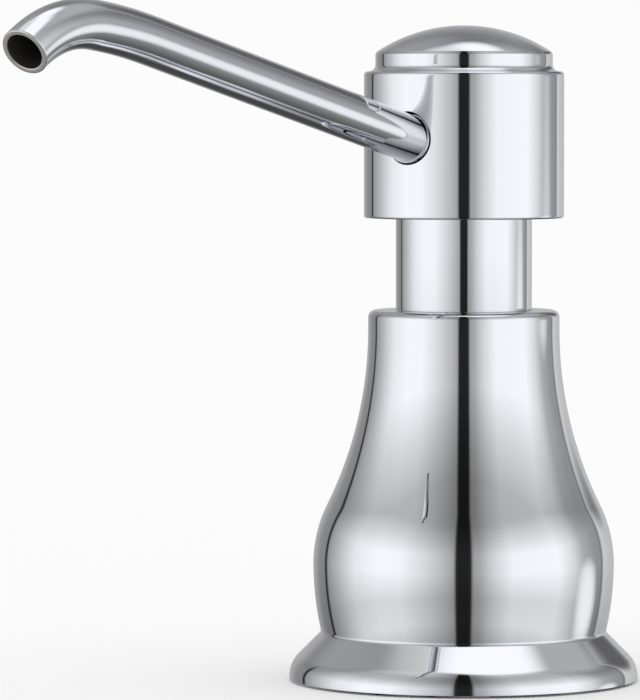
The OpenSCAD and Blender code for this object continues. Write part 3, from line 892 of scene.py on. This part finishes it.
def make_rubber():
    """Matt black with a grey bloom."""
    material, finish = new_finish("black_rubber")
    where = place_on_piece(finish)
    grain = noise(finish, where, 3000, 4.0)
    bloom = noise(finish, where, 90, 3.0).between(0.5, 0.9)
    surface(finish, {
        "Base Color": blended(finish, (0.018, 0.018, 0.02), (0.05, 0.05, 0.052), bloom),
        "Roughness": 0.55 + 0.15 * bloom, "Normal": bumps(finish, grain, 0.3, 0.05),
    })
    return material


# %% One finish for each slot
FINISHES = {
    "chrome": chrome,
    "cast_brass": make_brass(),
    "spring_steel": make_steel(),
    "natural_plastic": make_plastic("milky_plastic", (0.86, 0.86, 0.82), (0.8, 0.8, 0.75), 0.32, 0.25),
    "grey_plastic": make_plastic("grey_plastic", (0.1, 0.105, 0.11), (0.075, 0.08, 0.085), 0.38, 0.0),
    "black_rubber": make_rubber(),
}

# %% [markdown]
# ## The spout's mouth
#
# The tube's cut end isn't plated as bright as its side: the saw and the deburring leave it satin.
# The bore behind it is painted near-black, as painted shade inside the tube. Those faces could be
# pieces of their own, but they are one tube, so they are picked by their place and get finishes of
# their own.


# %% Finishes of the mouth
def make_satin():
    """A sawn and deburred end."""
    material, finish = new_finish("satin_cut")
    marks = noise(finish, place_on_piece(finish), 1800, 3.0)
    roughness = 0.28 + 0.12 * marks
    surface(finish, {"Base Color": (0.76, 0.75, 0.74, 1), "Metallic": 1.0, "Roughness": roughness})
    return material


def make_painted_bore_shade():
    """The tube's inside, painted near-black as painted shade in the bore, with uneven roughness."""
    material, finish = new_finish("painted_bore_shade")
    film = noise(finish, place_on_piece(finish), 400, 3.0)
    roughness = 0.5 + 0.2 * film
    # The near-black base colour is painted shade inside the tube, not the metal's own colour.
    surface(finish, {"Base Color": (0.035, 0.033, 0.03, 1), "Metallic": 0.2, "Roughness": roughness})
    return material


# %% Pick the mouth's faces
CUT_DEPTH = 0.1
CUT_FACING = 0.7
# The third finish paints shade on the tube's inside.
SPOUT_FINISHES = [chrome, make_satin(), make_painted_bore_shade()]


def tube_middle(point):
    """The nearest point on the tube's centre line, in millimetres."""
    return min(centre_line, key=lambda place: (place - point).length)


def finish_spout(piece):
    """Chrome outside, a satin cut at the mouth and painted shade on the wall inside."""
    for material in SPOUT_FINISHES:
        piece.data.materials.append(material)
    counts = [0, 0, 0]
    for face in piece.data.polygons:
        centre = face.center / MM
        at_end = (centre - mouth).dot(mouth_heading) > -CUT_DEPTH
        if at_end and face.normal.dot(mouth_heading) > CUT_FACING:
            face.material_index = 1
        elif (centre - tube_middle(centre)).dot(face.normal) < 0:
            face.material_index = 2
        counts[face.material_index] += 1
    print("spout faces: chrome, satin, dark:", counts)


finish_spout(spout)

# %% [markdown]
# ## Who wears what, and who moves with whom
#
# Each new piece takes the place of its imported node, rides on the body that the node belongs to, and
# wears the finish for the slot that the node has in the imported record.

# %% Put the pieces in their places
SLOT_OF = {row["node"]: row["material_slot"] for row in frame["record"]["subparts"]}


def put(piece, body, node):
    """Finishes a piece, unless it has its finishes already, and puts it in its node's place."""
    slot = SLOT_OF[node]
    if piece is not spout:
        piece.data.materials.clear()
        piece.data.materials.append(FINISHES[slot])
    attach(piece, body)
    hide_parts(node)
    print(piece.name, "takes the place of", node, "on", body)


put(bell, "base", "bell_shell")
put(sleeve, "head", "stem_sleeve")
put(head, "head", "head_shell")
put(button, "head", "head_cap")
put(spout, "head", "spout_tube")
put(gasket, "base", "base_gasket")
put(insert, "base", "base_insert")
put(spring, "base", "return_spring")
for node, name, width, body in INNER:
    put(inner[node], body, node)

# %% [markdown]
# The spring stands on the base. How much of its height it would keep when the head is down is worked
# out from the plunger's travel, and the spring is given a mesh of its own; the mesh is not squashed.

# %% How far the spring would squash
joints = frame["record"]["behaviour"]["joints"]
travel = next(row["range_m"][1] for row in joints if row["name"] == "plunger_slide")
keep = 1 - travel / ((spring_high.z - spring_low.z) * MM)
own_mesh(spring)
print("the spring keeps", round(keep, 3), "of its height when the head is down")

# %% [markdown]
# ## The studio
#
# Chrome has no colour of its own, so the studio makes the picture. Two tall white screens stand to
# the left and right of the camera with a narrow gap between them, and the gap is the dark line down
# the middle of every round piece. Behind the pump the room falls away to grey, which draws its
# edges. Real screens and lamps could stand in the scene, but their edges would show wherever the
# pump is looked at closely. All this is the world's light instead, worked out from the direction
# that a ray leaves in. It isn't sampled as a lamp, so each kind of ray can be given its own light.

# %% The empty studio
CAMERA_AZIMUTH = math.radians(34)
to_camera = Vector((math.sin(CAMERA_AZIMUTH), -math.cos(CAMERA_AZIMUTH), 0))
to_right = Vector((math.cos(CAMERA_AZIMUTH), math.sin(CAMERA_AZIMUTH), 0))
upward = Vector((0, 0, 1))
world = bpy.data.worlds.new("studio")
bpy.context.scene.world = world
world.use_nodes = True
world.cycles.sampling_method = "NONE"
studio = Finish(world.node_tree)
print("the camera looks from", [round(v, 2) for v in to_camera])


# %% Directions in the studio
def part_along(direction, axis):
    """How far a direction goes along an axis."""
    inputs = {0: direction, 1: axis}
    return studio.node("ShaderNodeVectorMath", {"operation": "DOT_PRODUCT"}, inputs, out="Value")


ray = studio.node("ShaderNodeTexCoord", out="Generated")
toward, right, up = (part_along(ray, axis) for axis in (to_camera, to_right, upward))
turn = studio.node("ShaderNodeMath", {"operation": "ARCTAN2"}, {0: right, 1: toward})
height = studio.node("ShaderNodeMath", {"operation": "ARCSINE"}, {0: up})


# %% [markdown]
# Two ramps carry the screens. One goes all the way round, from straight behind the pump (-180)
# through the camera (0) and back, and holds the dark gap and the dark bands behind. The other goes
# from straight down (-90) to straight up, and makes every screen fade towards its ends.


# %% The screens, seen all the way round
def ramp(signal, low, high, rows):
    """Brightness by angle in degrees: the rows are (angle, brightness)."""
    stops = [((angle - low) / (high - low), value) for angle, value in rows]
    place = (signal * (180 / math.pi) - low) / (high - low)
    return studio.node("ShaderNodeValToRGB", {"stops": stops}, {"Fac": place})


screens = ramp(turn, -180, 180, [
    (-180, 0.5), (-158, 0.42), (-146, 0.3), (-134, 0.28), (-132.5, 0.03), (-130, 0.03),
    (-128, 0.36), (-112, 0.6), (-92, 1.0), (-70, 1.17), (-50, 1.15), (-30, 0.86), (-15, 0.6),
    (-7.5, 0.45), (-5.5, 0.02), (5.5, 0.02), (7.5, 0.42), (13, 0.5), (22, 0.78), (38, 1.12),
    (78, 1.17), (94, 0.85), (106, 0.5), (122, 0.36), (130, 0.34), (133, 0.2), (136, 0.72),
    (148, 0.62), (164, 0.55), (180, 0.5),
])
fade = ramp(height, -90, 90, [
    (-90, 0.3), (-60, 0.3), (-44, 0.36), (-32, 0.52), (-23, 0.76), (-14, 0.72), (-9, 0.86),
    (-4, 1.0), (12, 1.0), (24, 0.74), (38, 0.5), (50, 0.45), (64, 0.6), (90, 0.65),
])

# %% [markdown]
# Cards hang round the pump as well: soft bright ones overhead, which draw the highlights on the
# button and the foot, and dark ones that give the spout its depth. Each has a direction, a size and
# a brightness, and fades out at its edge.

# %% The cards
CARDS = [
    # name, turn, height, half width where full, half width where gone, brightness
    ("soft high, to the left", -140, 46, 12, 30, 0.38),
    ("soft high, to the right", 125, 56, 12, 30, 0.5),
    ("white overhead", 90, 81, 14, 25, 1.2),
    ("white behind the button", 168, 67, 8, 17, 1.2),
    ("soft behind the button, to the left", -150, 66, 5, 15, 0.85),
    ("dark high behind, to the right", 151, 21, 5, 19, 0.14),
    ("bright low, to the right", 111, -12, 2, 15, 1.05),
    ("dark low behind", 168, -38, 12, 30, 0.07),
]


def toward_angles(turn_degrees, height_degrees):
    """A direction from its turn to the right of the camera and its height."""
    side, rise = math.radians(turn_degrees), math.radians(height_degrees)
    level = to_camera * math.cos(side) + to_right * math.sin(side)
    return level * math.cos(rise) + upward * math.sin(rise)


# %% Hang the cards
seen_in_chrome = screens * fade
for name, turn_degrees, height_degrees, full, gone, brightness in CARDS:
    edge, core = math.cos(math.radians(gone)), math.cos(math.radians(full))
    card = part_along(ray, toward_angles(turn_degrees, height_degrees)).between(edge, core)
    seen_in_chrome = seen_in_chrome * (1 - card) + brightness * card
    print("card:", name)

# %% [markdown]
# The floor and the background are plain and pale. The camera sees an even white behind the pump,
# and what lights the floor is an even white too, so the only shade on it is the pump's own. The
# light on the floor is a little stronger than the background, by as much as the floor swallows, so
# that the two run into each other without a line.

# %% Light for the floor and the background
BACKDROP = 0.97
FLOOR_TONE = 0.96
is_camera = studio.node("ShaderNodeLightPath", out="Is Camera Ray")
is_diffuse = studio.node("ShaderNodeLightPath", out="Is Diffuse Ray")
plain = is_camera * BACKDROP + is_diffuse * (BACKDROP / FLOOR_TONE)
light = seen_in_chrome * (1 - is_camera) * (1 - is_diffuse) + plain
sky = studio.node("ShaderNodeBackground", {}, {"Color": light, "Strength": 1.0})
studio.node("ShaderNodeOutputWorld", {}, {"Surface": sky})
print("studio nodes:", len(world.node_tree.nodes))

# %% [markdown]
# The floor is a plain sheet just under the foot. It is left out of the chrome's reflections, which
# have the studio's own darker floor, and it is clear from below, so that the pump's underside can
# be looked at.

# %% The floor
FLOOR_SIZE = 6
FLOOR_DROP = 0.02
bpy.ops.object.select_all(action="DESELECT")
bpy.ops.mesh.primitive_plane_add(size=FLOOR_SIZE, location=(0, 0, -FLOOR_DROP * MM))
floor = bpy.context.object
floor.name = "floor"
floor_paint, finish = new_finish("pale_floor")
paint = finish.node("ShaderNodeBsdfPrincipled", {}, {
    "Base Color": (FLOOR_TONE, FLOOR_TONE, FLOOR_TONE, 1), "Roughness": 0.9, "Specular IOR Level": 0.0,
})
clear = finish.node("ShaderNodeBsdfTransparent")
from_below = finish.node("ShaderNodeNewGeometry", out="Backfacing")
one_sided = finish.node("ShaderNodeMixShader", {}, {0: from_below, 1: paint, 2: clear})
finish.node("ShaderNodeOutputMaterial", {}, {"Surface": one_sided})
floor.data.materials.append(floor_paint)
floor.visible_glossy = False
print("floor of", FLOOR_SIZE, "m")

# %% [markdown]
# ## The camera
#
# A long lens from nearly a metre away keeps the bell's sides almost parallel. It looks slightly
# down, and the pump stands right of the middle, which leaves room for the spout. The Standard view
# keeps whites white, where a filmic one would grey them.

# %% Camera
CAMERA_DISTANCE = 914 * MM
CAMERA_HEIGHT = 98 * MM
AIM_LEFT = 23.9 * MM
AIM_HEIGHT = 55 * MM
LENS = 283
eye = to_camera * CAMERA_DISTANCE + Vector((0, 0, CAMERA_HEIGHT))
aim = Vector((0, 0, AIM_HEIGHT)) - to_right * AIM_LEFT
bpy.ops.object.camera_add(location=eye, rotation=(aim - eye).to_track_quat("-Z", "Y").to_euler())
camera = bpy.context.object
camera.data.lens = LENS
camera.data.sensor_width = 36
camera.data.clip_end = 20
bpy.context.scene.camera = camera
bpy.context.scene.view_settings.view_transform = "Standard"
print("camera at", [round(v, 3) for v in eye], "with a lens of", LENS, "mm")
